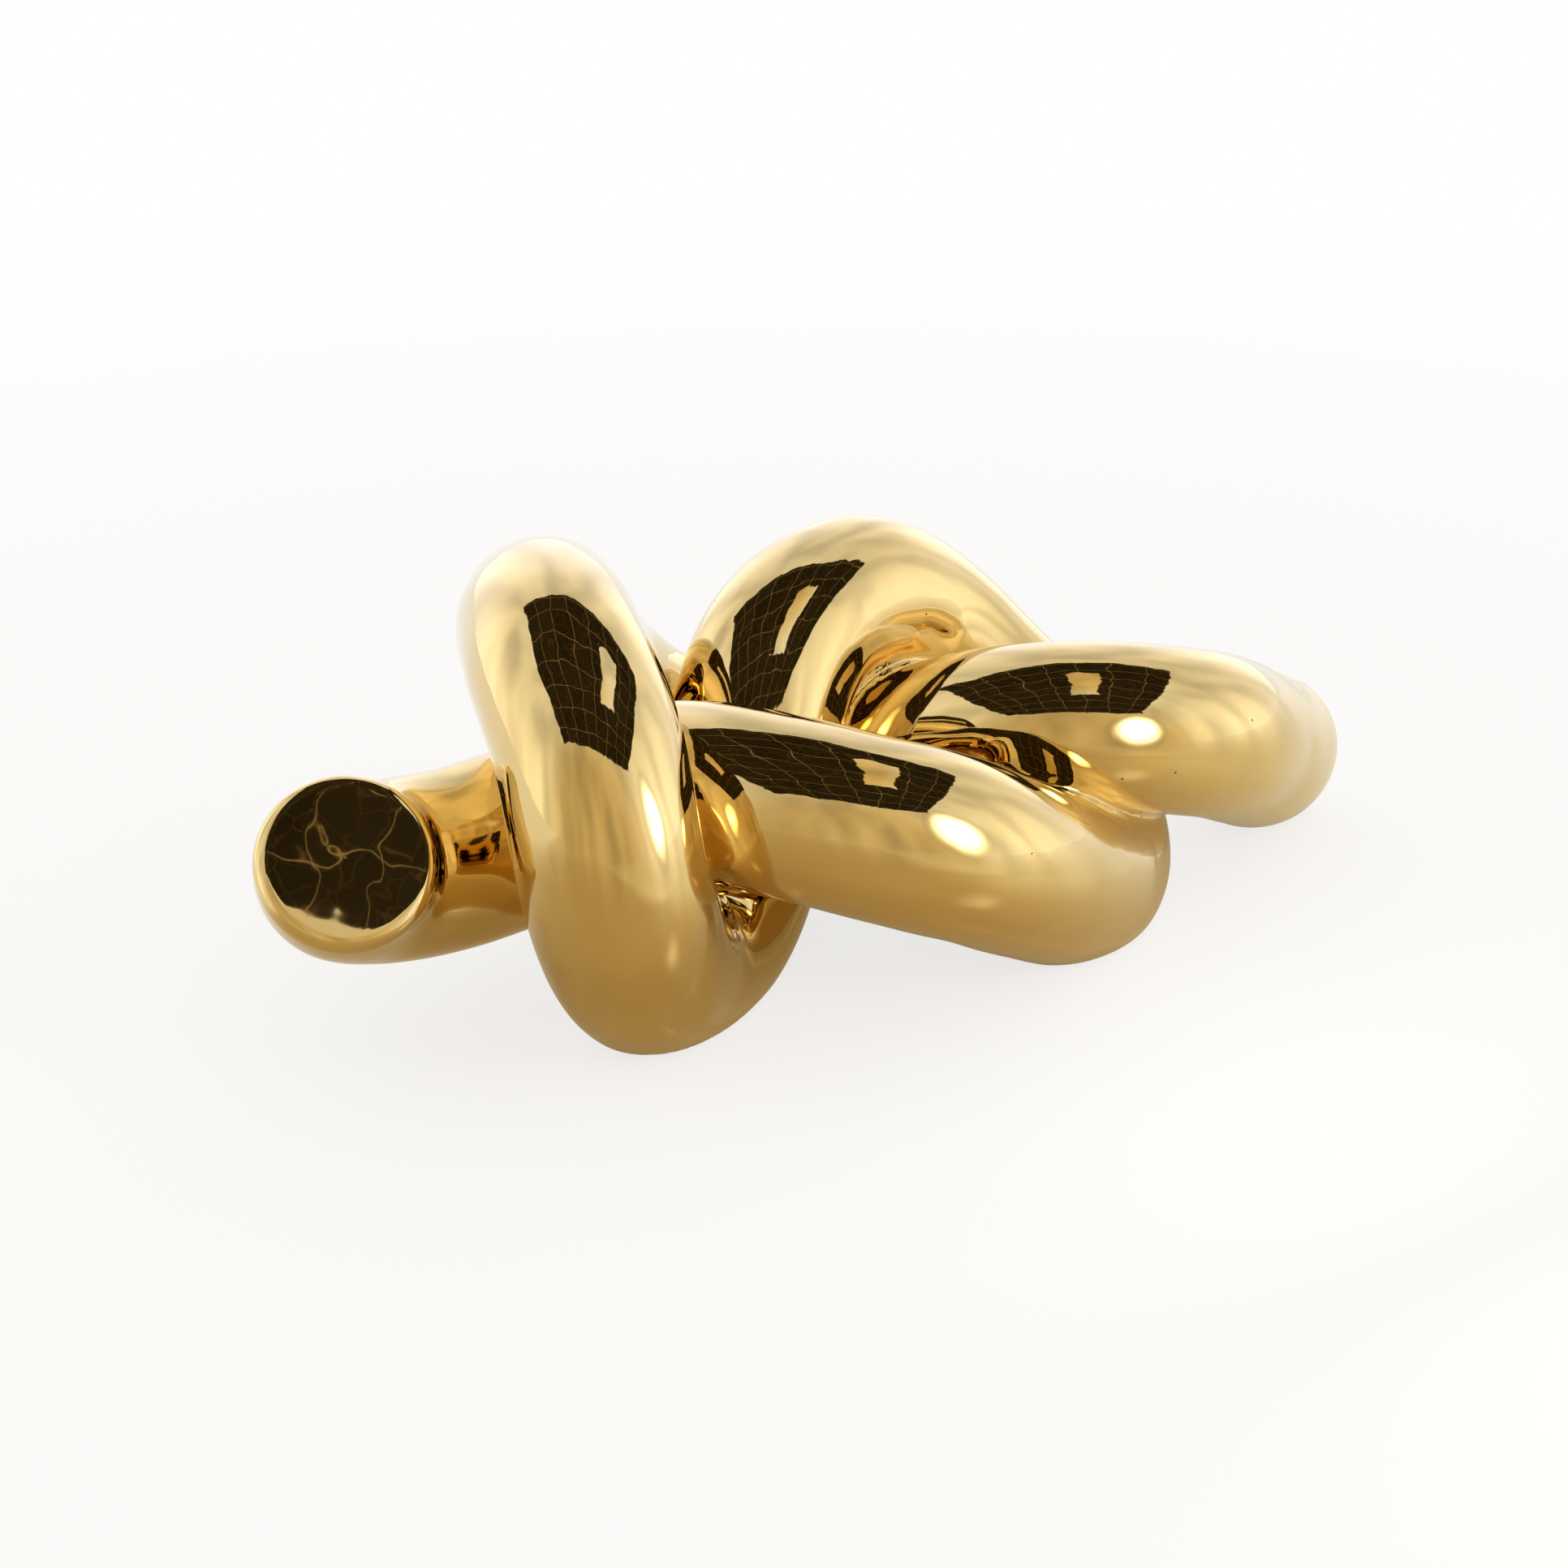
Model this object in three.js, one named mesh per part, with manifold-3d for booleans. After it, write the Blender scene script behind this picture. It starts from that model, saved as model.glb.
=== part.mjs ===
// A knot sculpture in gold-lustred ceramic: one thick round strand tied in a figure-eight knot.
// The strand is slip-cast hollow in five curved lengths. They are luted end to end with slip where a
// seam hides under a crossing, bedded on each other where they touch, closed by two end discs and
// ground flat underneath. Three felt pads, cut to the ground flats, keep the bare clay off the table.
// Millimetres, +Z up, the viewer's side is -Y. The origin is the middle of the footprint.
import * as THREE from 'three';
import { NURBSCurve } from 'three/addons/curves/NURBSCurve.js';
import { mergeVertices } from 'three/addons/utils/BufferGeometryUtils.js';
import Module from 'manifold-3d';

// Driving dimensions
const STRAND_DIAMETER = 71; // outside of the ceramic tube
const WALL = 5; // thickness of the cast clay, the ground base included
const SEAM = 1.2; // slip layer between two lengths luted end to end
const BEDDING = 0.3; // clearance left between any two neighbouring pieces
const DISC = 7; // thickness of an end disc
const RIM_RADIUS = 6; // rounding of an end disc's edge
const VENT_DIAMETER = 8; // hole in the base that lets the kiln gases out
const GROUND_DEPTH = 18; // how deep the lowest bend is ground flat
const FELT = 1; // felt thickness
const FELT_INSET = 3; // how far a felt pad stays inside the edge of its ground flat
const FELT_LIFT = FELT + BEDDING; // height of the ground base above the table

// Facets of the model
const OUTER_SIDES = 20;
const BORE_SIDES = 12;
const RING_STEP = 18; // spacing of the rings along a strand
const WORLD = 1000; // side of the cutting blocks, larger than the sculpture

// Places along the strand, in millimetres from its left end
const SEAM_TAIL_TO_FRONT = 137; // under the left loop
const SEAM_FRONT_TO_ARCH = 466; // under the right tail
const SEAM_ARCH_TO_LOOP = 761; // under the front strand
const SEAM_LOOP_TO_TAIL = 1269; // under the back arch
const VENT_UNDER_FRONT = 422; // lowest point of the front strand's bend

// Control points of the strand's centre line. The first and the last lie on the strand's ends, and the
// others guide a smooth cubic curve.
const CENTRE_LINE = [
  // Left tail, raised off the table, with a tight elbow that turns its end to the viewer
  [-187, -120, 88], [-192, -111, 78], [-189, -88, 66], [-166, -69, 60], [-134, -53, 64], [-106, -37, 68],
  // Front strand, over the left loop's foot and down to the bend on the right
  [-66, -49, 89], [5, -91, 86], [55, -68, 64], [86, -12, 24], [104, 26, 12],
  // Back arch, up behind, over the right tail and down behind the front strand
  [101, 75, 29], [69, 106, 57], [32, 111, 96], [2, 84, 122], [-37, 34, 112], [-42, 5, 56],
  // Left loop, under the front strand, up at the front, over the left tail and down behind
  [-55, -31, 15], [-79, -78, 16], [-84, -111, 48], [-93, -119, 85], [-99, -100, 128],
  [-117, -55, 147], [-126, 14, 136], [-118, 70, 83], [-70, 88, 39],
  // Right tail, under the back arch, over the front strand's bend and down to the table
  [2, 64, 46], [69, 24, 82], [119, 22, 81], [152, 43, 69], [169, 83, 49], [188, 121, 26], [191, 141, 25],
];

const GOLD = { color: 0xc8973a, metalness: 1, roughness: 0.12 };
const FELT_CLOTH = { color: 0x2a2521, metalness: 0, roughness: 0.95 };

const wasm = await Module();
wasm.setup();

const radius = STRAND_DIAMETER / 2;
const strand = smoothCurve(CENTRE_LINE);
const strandLength = strand.getLength();
const lowestAxis = Math.min(...strand.getSpacedPoints(Math.round(strandLength)).map((point) => point.z));
const base = lowestAxis - radius + GROUND_DEPTH; // height of the ground flats

// Solids from geometry and back

function solidOf(geometry) {
  const bare = geometry.clone();
  bare.deleteAttribute('normal');
  bare.deleteAttribute('uv');
  const merged = mergeVertices(bare, 1e-4);
  return new wasm.Manifold(new wasm.Mesh({
    numProp: 3,
    vertProperties: new Float32Array(merged.attributes.position.array),
    triVerts: new Uint32Array(merged.index.array),
  }));
}

function geometryOf(solid) {
  const mesh = solid.getMesh();
  const geometry = new THREE.BufferGeometry();
  geometry.setAttribute('position', new THREE.BufferAttribute(new Float32Array(mesh.vertProperties), 3));
  geometry.setIndex(new THREE.BufferAttribute(new Uint32Array(mesh.triVerts), 1));
  geometry.computeVertexNormals();
  return geometry;
}

function blockBelow(height) {
  return solidOf(new THREE.BoxGeometry(WORLD, WORLD, WORLD).translate(0, 0, height - WORLD / 2));
}

// The strand and lengths of it

function smoothCurve(points) {
  const degree = 3;
  const spans = points.length - degree;
  const inner = Array.from({ length: spans - 1 }, (_, i) => (i + 1) / spans);
  const knots = [0, 0, 0, 0, ...inner, 1, 1, 1, 1];
  const curve = new NURBSCurve(degree, knots, points.map(([x, y, z]) => new THREE.Vector4(x, y, z, 1)));
  curve.arcLengthDivisions = 2000;
  return curve;
}

class StrandLength extends THREE.Curve {
  constructor(from, to) {
    super();
    this.from = from;
    this.to = to;
  }

  getPoint(t, target = new THREE.Vector3()) {
    return strand.getPointAt((this.from + (this.to - this.from) * t) / strandLength, target);
  }
}

function circle(r, sides) {
  return Array.from({ length: sides }, (_, i) => {
    const angle = (2 * Math.PI * i) / sides;
    return new THREE.Vector2(r * Math.cos(angle), r * Math.sin(angle));
  });
}

function rod(from, to, r, sides) {
  return solidOf(new THREE.ExtrudeGeometry(new THREE.Shape(circle(r, sides)), {
    steps: Math.max(1, Math.round((to - from) / RING_STEP)),
    extrudePath: new StrandLength(from, to),
  }));
}

// The strand is laid from its left end to its right end. Each piece is a solid length of it, hollowed,
// dented where it crosses what was laid before, and ground off at the base. The wall follows the dents
// and the base, so the clay keeps its thickness.

const belowBase = blockBelow(base);
const belowBaseWall = blockBelow(base + WALL);
const joint = SEAM + 2 * BEDDING;
const laid = [];

function layLength(from, to) {
  const overrun = joint / 2;
  let body = rod(from, to, radius, OUTER_SIDES).subtract(belowBase);
  let bore = rod(from - overrun, to + overrun, radius - WALL, BORE_SIDES).subtract(belowBaseWall);
  for (const before of laid) {
    body = body.subtract(rod(...before, radius + BEDDING, OUTER_SIDES));
    bore = bore.subtract(rod(...before, radius + BEDDING + WALL, OUTER_SIDES));
  }
  const bridge = 0.6 * BEDDING; // closes the clearance between two laid pieces, short of the next one
  laid.push([from - bridge, to + bridge]);
  return body.subtract(bore);
}

// An end disc with a rounded rim, its back face at a place on the strand.
function endDisc(place, outward) {
  const rim = new THREE.Path();
  rim.moveTo(0, 0);
  rim.lineTo(radius, 0);
  rim.lineTo(radius, DISC - RIM_RADIUS);
  rim.absarc(radius - RIM_RADIUS, DISC - RIM_RADIUS, RIM_RADIUS, 0, Math.PI / 2);
  rim.lineTo(0, DISC);
  const disc = new THREE.LatheGeometry(rim.getPoints(3), OUTER_SIDES);
  const axis = strand.getTangentAt(place / strandLength).multiplyScalar(outward);
  const turn = new THREE.Quaternion().setFromUnitVectors(new THREE.Vector3(0, 1, 0), axis);
  const seat = strand.getPointAt(place / strandLength);
  return solidOf(disc.applyMatrix4(new THREE.Matrix4().makeRotationFromQuaternion(turn).setPosition(seat)))
    .subtract(belowBase);
}

// A felt pad with the outline of the ground flat under a length of the strand.
function feltPad(from, to) {
  const slice = blockBelow(base + FELT).subtract(belowBase);
  return rod(from + FELT_INSET, to - FELT_INSET, radius - FELT_INSET, OUTER_SIDES).intersect(slice);
}

function ventHole(place) {
  const { x, y } = strand.getPointAt(place / strandLength);
  const drill = new THREE.CylinderGeometry(VENT_DIAMETER / 2, VENT_DIAMETER / 2, 4 * WALL, BORE_SIDES);
  return solidOf(drill.rotateX(Math.PI / 2).translate(x, y, base));
}

function mesh(name, geometry, finish) {
  const piece = new THREE.Mesh(geometry, new THREE.MeshStandardMaterial(finish));
  piece.name = name;
  return piece;
}

const cuts = [
  DISC + joint / 2, SEAM_TAIL_TO_FRONT, SEAM_FRONT_TO_ARCH, SEAM_ARCH_TO_LOOP, SEAM_LOOP_TO_TAIL,
  strandLength - DISC - joint / 2,
];
const castings = ['left_tail', 'front_strand', 'back_arch', 'left_loop', 'right_tail'];
const seams = [
  'left_disc_seam', 'tail_to_front_seam', 'front_to_arch_seam', 'arch_to_loop_seam',
  'loop_to_tail_seam', 'right_disc_seam',
];

const pieces = { left_end_disc: endDisc(DISC, -1) };
cuts.forEach((cut, i) => {
  pieces[seams[i]] = layLength(cut - SEAM / 2, cut + SEAM / 2);
  if (i < castings.length) pieces[castings[i]] = layLength(cut + joint / 2, cuts[i + 1] - joint / 2);
});
pieces.right_end_disc = endDisc(strandLength - DISC, 1);
pieces.front_strand = pieces.front_strand.subtract(ventHole(VENT_UNDER_FRONT));

const ceramic = new THREE.Group();
ceramic.position.z = FELT_LIFT - base;
for (const [name, solid] of Object.entries(pieces)) ceramic.add(mesh(name, geometryOf(solid), GOLD));

const pads = new THREE.Group();
pads.position.z = -base;
pads.add(mesh('front_felt_pad', geometryOf(feltPad(SEAM_TAIL_TO_FRONT, SEAM_FRONT_TO_ARCH)), FELT_CLOTH));
pads.add(mesh('loop_felt_pad', geometryOf(feltPad(SEAM_ARCH_TO_LOOP, SEAM_LOOP_TO_TAIL)), FELT_CLOTH));
pads.add(mesh('tail_felt_pad', geometryOf(feltPad(SEAM_LOOP_TO_TAIL, cuts.at(-1))), FELT_CLOTH));

const knot = new THREE.Group();
knot.add(ceramic, pads);

export default knot;
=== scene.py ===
# %% [markdown]
# A gold-lustred ceramic knot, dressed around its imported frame.
# The real piece is a thick round strand of slip-cast clay, tied in a figure-eight knot, glazed and fired
# with a metallic lustre. This lesson sweeps the strand along its own centre line, lets the clay flow
# together where strands touch, grinds it flat underneath and gives it the lustre.

# %% Load the frame
import math
import bpy
import numpy as np
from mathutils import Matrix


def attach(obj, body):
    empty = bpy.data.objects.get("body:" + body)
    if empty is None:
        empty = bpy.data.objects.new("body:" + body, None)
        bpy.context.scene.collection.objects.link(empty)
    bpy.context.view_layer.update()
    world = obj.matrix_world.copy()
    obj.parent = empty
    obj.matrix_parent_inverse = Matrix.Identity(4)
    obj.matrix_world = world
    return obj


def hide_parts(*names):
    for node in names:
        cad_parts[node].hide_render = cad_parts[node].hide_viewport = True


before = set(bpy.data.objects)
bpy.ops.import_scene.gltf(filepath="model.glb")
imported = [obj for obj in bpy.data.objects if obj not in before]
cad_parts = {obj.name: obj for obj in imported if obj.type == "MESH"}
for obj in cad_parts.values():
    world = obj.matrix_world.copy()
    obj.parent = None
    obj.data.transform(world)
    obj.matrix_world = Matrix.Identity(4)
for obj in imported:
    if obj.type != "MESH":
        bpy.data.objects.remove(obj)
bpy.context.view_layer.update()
print("frame nodes:", len(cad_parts))

# %% [markdown]
# The strand follows a smooth cubic curve through the same control points as the solids, in
# millimetres. Working from the centre line, and not from the faceted solids, gives a surface that is
# smooth enough to act as a mirror.

# %% Sizes of the strand
MM = 0.001
STRAND_RADIUS = 35.5
WALL = 5.0
DISC = 7.0
RIM_RADIUS = 6.0
GROUND_DEPTH = 18.0
FELT_LIFT = 1.3
SEAMS = [137.0, 466.0, 761.0, 1269.0]  # joints between castings, measured along the strand

CENTRE_LINE = np.array([
    # Left tail, raised off the table, with a tight elbow that turns its end to the viewer
    [-187, -120, 88], [-192, -111, 78], [-189, -88, 66], [-166, -69, 60], [-134, -53, 64], [-106, -37, 68],
    # Front strand, over the left loop's foot and down to the bend on the right
    [-66, -49, 89], [5, -91, 86], [55, -68, 64], [86, -12, 24], [104, 26, 12],
    # Back arch, up behind, over the right tail and down behind the front strand
    [101, 75, 29], [69, 106, 57], [32, 111, 96], [2, 84, 122], [-37, 34, 112], [-42, 5, 56],
    # Left loop, under the front strand, up at the front, over the left tail and down behind
    [-55, -31, 15], [-79, -78, 16], [-84, -111, 48], [-93, -119, 85], [-99, -100, 128],
    [-117, -55, 147], [-126, 14, 136], [-118, 70, 83], [-70, 88, 39],
    # Right tail, under the back arch, over the front strand's bend and down to the table
    [2, 64, 46], [69, 24, 82], [119, 22, 81], [152, 43, 69], [169, 83, 49], [188, 121, 26], [191, 141, 25],
], float)
print("control points:", len(CENTRE_LINE))

# %% [markdown]
# Blender's own curves can't say how far along a point lies, so the curve is worked out here. A clamped
# cubic B-spline is a weighted mean of its control points, and the weights come from a short recursion.

# %% A cubic curve
DEGREE = 3
FINE_POINTS = 12001


def spline_points(control, count):
    spans = len(control) - DEGREE
    knots = np.concatenate([np.zeros(DEGREE), np.linspace(0, 1, spans + 1), np.ones(DEGREE)])
    u = np.linspace(0, 1, count)
    weights = ((knots[None, :-1] <= u[:, None]) & (u[:, None] < knots[None, 1:])).astype(float)
    weights[-1, len(control) - 1] = 1
    for p in range(1, DEGREE + 1):
        rise = knots[p:-1] - knots[:-p - 1]
        fall = knots[p + 1:] - knots[1:-p]
        blank = np.zeros((count, len(rise)))
        left = np.divide(u[:, None] - knots[:-p - 1], rise, out=blank.copy(), where=rise > 0)
        right = np.divide(knots[p + 1:] - u[:, None], fall, out=blank.copy(), where=fall > 0)
        weights = left * weights[:, :-1] + right * weights[:, 1:]
    return weights @ control


fine = spline_points(CENTRE_LINE, FINE_POINTS)
travelled = np.concatenate([[0], np.cumsum(np.linalg.norm(np.diff(fine, axis=0), axis=1))])
strand_length = travelled[-1]
print(f"strand length {strand_length:.1f} mm")

# %% [markdown]
# The lowest bend is ground off after firing, and the ground base then rests on felt. So the whole curve is
# raised until that base lies on top of the pads.

# %% Height over the table
LOOK_AHEAD = 0.5  # how far either side of a point the direction is taken from

base = fine[:, 2].min() - STRAND_RADIUS + GROUND_DEPTH
fine[:, 2] += FELT_LIFT - base
floor_cut = FELT_LIFT


def unit(vectors):
    return vectors / np.linalg.norm(vectors, axis=-1, keepdims=True)


def on_line(places):
    return np.stack([np.interp(places, travelled, fine[:, i]) for i in range(3)], axis=1)


def along(places):
    """Points and directions at given distances along the strand."""
    return on_line(places), unit(on_line(places + LOOK_AHEAD) - on_line(places - LOOK_AHEAD))


print(f"ground base {base:.2f} mm above the drawing's zero, now at {floor_cut} mm")

# %% [markdown]
# The skin is a long grid of rings, spread evenly along the strand, with one ring at every joint between
# castings. Rings need a sideways direction that doesn't twist along the strand. Each ring takes the
# direction of the ring before and makes it square to its own axis, which is called a rotation-minimising
# frame.

# %% Rings square to the strand
RING_STEP = 2.0
SIDES = 128
cuts = [DISC, *SEAMS, strand_length - DISC]
lengths = [np.linspace(a, b, max(2, round((b - a) / RING_STEP)) + 1) for a, b in zip(cuts, cuts[1:])]
stations = np.concatenate([lengths[0], *[part[1:] for part in lengths[1:]]])
axis, tangent = along(stations)


def untwisted_sides(tangents):
    sides = np.zeros_like(tangents)
    sides[0] = unit(np.cross(tangents[0], [0, 0, 1]))
    for i in range(1, len(tangents)):
        turned = sides[i - 1] - tangents[i] * (sides[i - 1] @ tangents[i])
        sides[i] = turned / np.linalg.norm(turned)
    return sides


side = untwisted_sides(tangent)
lift = np.cross(tangent, side)
angle = np.linspace(0, 2 * np.pi, SIDES, endpoint=False)
spoke = side[:, None] * np.cos(angle)[None, :, None] + lift[:, None] * np.sin(angle)[None, :, None]
print("rings:", len(stations), "sides:", SIDES)

# %% [markdown]
# No hand-finished casting is a perfect tube. A sum of shallow waves gives the skin the slight unevenness
# that makes real reflections wander: long ones from the mould, short ones from the sponge that smoothed the
# clay. They are a fraction of a millimetre high. The left end is also a little slimmer than the rest,
# because the clay was trimmed there to take its disc.

# %% The uneven skin
WAVES = [  # height, length along the strand, turns round it, start
    (0.22, 173.0, 1, 0.4), (0.20, 118.0, 2, 2.1), (0.14, 83.0, -1, 4.0),
    (0.10, 61.0, 3, 1.3), (0.07, 47.0, -2, 5.2), (0.05, 33.0, 1, 2.9),
    (0.030, 53.0, 4, 0.8), (0.022, 37.0, -5, 3.3), (0.014, 26.0, 7, 5.9), (0.010, 19.0, -9, 1.7),
]
END_TRIM = 1.6  # how much slimmer the left end is
TRIM_LENGTH = 70.0


def eased(share):
    """A share from 0 to 1 that starts and ends softly."""
    share = np.clip(share, 0, 1)
    return share * share * (3 - 2 * share)


unevenness = sum(
    height * np.sin(2 * np.pi * stations[:, None] / length + turns * angle[None, :] + start)
    for height, length, turns, start in WAVES
)
unevenness -= (END_TRIM * eased(1 - stations / TRIM_LENGTH))[:, None]
skin = axis[:, None] + spoke * (STRAND_RADIUS + unevenness)[:, :, None]
print(f"skin stands {unevenness.min():.2f} to {unevenness.max():.2f} mm off a true tube")

# %% [markdown]
# Where two strands touch, wet slip fills the crease in a narrow hollow fillet. To find the creases, each
# skin point needs two distances: to its own limb of the strand, and to the nearest other limb.

# %% Distances to the limbs
OWN_REACH = 70.0  # along the strand, closer than this is the same limb
OTHER_REACH = 110.0  # along the strand, further than this is another limb
CHUNK = 8000  # points handled at a time, to keep the tables small
probe_line = np.arange(0, strand_length, 1.0)
probe_points, probe_tangents = along(probe_line)


def axis_distance(points, own_station, near):
    """Distance to the strand's own limb or to any other, and the direction away from it."""
    distance = np.empty(len(points))
    away = np.empty_like(points)
    for start in range(0, len(points), CHUNK):
        part = slice(start, start + CHUNK)
        p = points[part]
        gap = (p ** 2).sum(1)[:, None] + (probe_points ** 2).sum(1)[None] - 2 * p @ probe_points.T
        apart = np.abs(probe_line[None] - own_station[part][:, None])
        gap[apart > OWN_REACH if near else apart < OTHER_REACH] = np.inf
        i = gap.argmin(1)
        reach = ((p - probe_points[i]) * probe_tangents[i]).sum(1).clip(-1, 1)
        offset = p - probe_points[i] - probe_tangents[i] * reach[:, None]
        distance[part] = np.linalg.norm(offset, axis=1)
        away[part] = offset / distance[part][:, None]
    return distance, away


FILLET = 4.5  # how far from its neighbour a strand starts to swell
HIDDEN = 8.0  # deeper than this inside a neighbour, a point is never seen
flat_skin = skin.reshape(-1, 3)
flat_station = np.repeat(stations, SIDES)
to_other, _ = axis_distance(flat_skin, flat_station, near=False)
to_other -= STRAND_RADIUS
touching = np.flatnonzero((to_other < FILLET) & (to_other > -HIDDEN))
print("skin points in creases:", len(touching))

# %% [markdown]
# A smooth minimum of the two distances describes the filled surface. Each skin point is walked out onto it
# along the steepest way. Past the middle of the crease the skin dives under its neighbour, so that neither
# surface flickers through the other.

# %% Slip fillets in the creases
DIVE = 0.06  # how steeply the skin goes down under its neighbour
STEPS = 16
LARGEST_STEP = 0.8
LEAST_SLOPE = 0.02  # keeps a step short where the two ways out cancel
EASE_DEPTH = 6.0  # inside a neighbour the walk fades out from this depth
EASE_LENGTH = 4.0
crease_station = flat_station[touching]
crease_uneven = unevenness.reshape(-1)[touching]


def crease_field(points):
    """Distance to the filled surface, the steepest way to it, and how far into a crease each point lies."""
    own, own_away = axis_distance(points, crease_station, near=True)
    other, other_away = axis_distance(points, crease_station, near=False)
    own -= STRAND_RADIUS + crease_uneven
    other -= STRAND_RADIUS
    blend = np.clip(1 - np.abs(own - other) / FILLET, 0, 1)
    field = np.minimum(own, other) - blend ** 2 * FILLET / 4
    level = -DIVE * np.clip(own - other, 0, None) ** 2
    own_share = np.where(own < other, 1 - blend / 2, blend / 2)[:, None]
    steepest = own_away * own_share + other_away * (1 - own_share)
    return level - field, steepest, blend


moved = flat_skin[touching].copy()
for _ in range(STEPS):
    gap, steepest, _ = crease_field(moved)
    slope = (steepest ** 2).sum(1).clip(LEAST_SLOPE, None)
    step = (gap / slope)[:, None] * steepest
    length = np.linalg.norm(step, axis=1, keepdims=True)
    moved += step * np.minimum(1, LARGEST_STEP / np.maximum(length, 1e-9))
keep = eased((to_other[touching] + EASE_DEPTH) / EASE_LENGTH)[:, None]
shift = keep * (moved - flat_skin[touching])
flat_skin[touching] += shift
_, crease_way, crease_blend = crease_field(flat_skin[touching])
print(f"slip and dive move the skin by up to {np.linalg.norm(shift, axis=1).max():.1f} mm")

# %% [markdown]
# After firing the knot is ground flat on a plate so that it stands. The grinding edge is softened a
# little, so points near the plate are eased up by a smooth maximum instead of cut off. The bore stays a
# wall's thickness above it.

# %% Ground base
EDGE_SOFTENING = 1.6


def grind(points, height):
    gap = points[..., 2] - height
    ease = np.clip(1 - np.abs(gap) / EDGE_SOFTENING, 0, 1)
    points[..., 2] = height + np.maximum(gap, 0) + ease ** 2 * EDGE_SOFTENING / 4


print("skin points ground off:", int((flat_skin[:, 2] < floor_cut).sum()))
grind(flat_skin, floor_cut)
skin = flat_skin.reshape(skin.shape)
bore = axis[:, None] + spoke * (STRAND_RADIUS - WALL)
grind(bore, floor_cut + WALL)

# %% [markdown]
# Shading a mirror needs exact normals. They come from the whole strand's grid, so that two castings that
# meet at a joint share them there and no line shows, just as a luted joint is rubbed smooth before glazing.
# In a crease the steepest way out of the filled surface is the normal, and both strands agree on it.

# %% Normals of the whole skin
CREASE_SHARE = 0.3  # deeper in a crease than this, its own normal counts in full


def grid_normals(grid):
    """Normals of a grid of closed rings, from the steps along it and round it."""
    step_along = np.gradient(grid, axis=0)
    step_round = (np.roll(grid, -1, axis=1) - np.roll(grid, 1, axis=1)) / 2
    return unit(np.cross(step_round, step_along))


skin_normal = grid_normals(skin)
skin_normal *= np.sign((skin_normal * spoke).sum(-1).mean())
in_crease = eased(crease_blend / CREASE_SHARE)[:, None]
flat_normal = skin_normal.reshape(-1, 3)
flat_normal[touching] = unit(flat_normal[touching] * (1 - in_crease) + unit(crease_way) * in_crease)
skin_normal = flat_normal.reshape(skin.shape)
print("normals point", "outward" if (skin_normal * spoke).sum(-1).mean() > 0 else "inward")

# %% [markdown]
# Every piece here is made of closed rings joined by quads. A mesh made from lists of points and faces keeps
# full control over both, and takes the exact normals at its corners.

# %% Mesh helpers


def ring_quads(rings, first, flip):
    a = first + np.arange(rings - 1)[:, None] * SIDES + np.arange(SIDES)[None]
    b = first + np.arange(rings - 1)[:, None] * SIDES + (np.arange(SIDES) + 1)[None] % SIDES
    quads = np.stack([a, b, b + SIDES, a + SIDES], axis=-1).reshape(-1, 4)
    return quads[:, ::-1] if flip else quads


def bridge_quads(ring_a, ring_b):
    j = np.arange(SIDES)
    k = (j + 1) % SIDES
    return np.stack([ring_a + j, ring_a + k, ring_b + k, ring_b + j], axis=-1)


def make_piece(name, points, faces, normals):
    """A mesh in metres, with given corner normals."""
    mesh = bpy.data.meshes.new(name)
    mesh.from_pydata((points * MM).tolist(), [], faces)
    mesh.polygons.foreach_set("use_smooth", np.ones(len(mesh.polygons), bool))
    mesh.normals_split_custom_set(normals.reshape(-1, 3).tolist())
    piece = bpy.data.objects.new(name, mesh)
    bpy.context.scene.collection.objects.link(piece)
    print(name, "faces:", len(faces))
    return piece


# %% [markdown]
# Each casting is a hollow length: an outer skin, a bore and two ring-shaped ends. The bore is never seen, so
# it has fewer rings. A casting also stands for the thin layer of slip that joins it to the one before.

# %% The five castings
BORE_EVERY = 5
CASTINGS = {
    "left_tail_casting": ["left_tail", "left_disc_seam"],
    "front_strand_casting": ["front_strand", "tail_to_front_seam"],
    "back_arch_casting": ["back_arch", "front_to_arch_seam"],
    "left_loop_casting": ["left_loop", "arch_to_loop_seam"],
    "right_tail_casting": ["right_tail", "loop_to_tail_seam", "right_disc_seam"],
}


def casting(name, first, last):
    outer = skin[first:last + 1]
    rings = np.unique(np.append(np.arange(first, last, BORE_EVERY), last))
    inner = bore[rings]
    start_of_bore = outer.shape[0] * SIDES
    points = np.concatenate([outer.reshape(-1, 3), inner.reshape(-1, 3)])
    outward = np.concatenate([skin_normal[first:last + 1].reshape(-1, 3), -spoke[rings].reshape(-1, 3)])
    skin_quads = ring_quads(len(outer), 0, flip=False)
    bore_quads = ring_quads(len(inner), start_of_bore, flip=True)
    front_end = bridge_quads(start_of_bore, 0)
    back_end = bridge_quads(start_of_bore - SIDES, len(points) - SIDES)
    faces = np.concatenate([skin_quads, bore_quads, front_end, back_end]).tolist()
    normals = np.concatenate([
        outward[skin_quads], outward[bore_quads],
        np.broadcast_to(-tangent[first], (SIDES, 4, 3)), np.broadcast_to(tangent[last], (SIDES, 4, 3)),
    ])
    return make_piece(name, points, faces, normals)


ring_of_cut = np.concatenate([[0], np.cumsum([len(part) - 1 for part in lengths])])
gold_pieces = []
for (name, nodes), first, last in zip(CASTINGS.items(), ring_of_cut, ring_of_cut[1:]):
    piece = casting(name, first, last)
    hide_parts(*nodes)
    gold_pieces.append(piece)

# %% [markdown]
# A clay disc closes each end of the tube. Its profile is turned round the strand's axis: a rounded rim and
# a face that stands slightly proud in the middle. The face was patted flat by hand, so it is a little wavy,
# and that breaks up what it mirrors.

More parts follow.
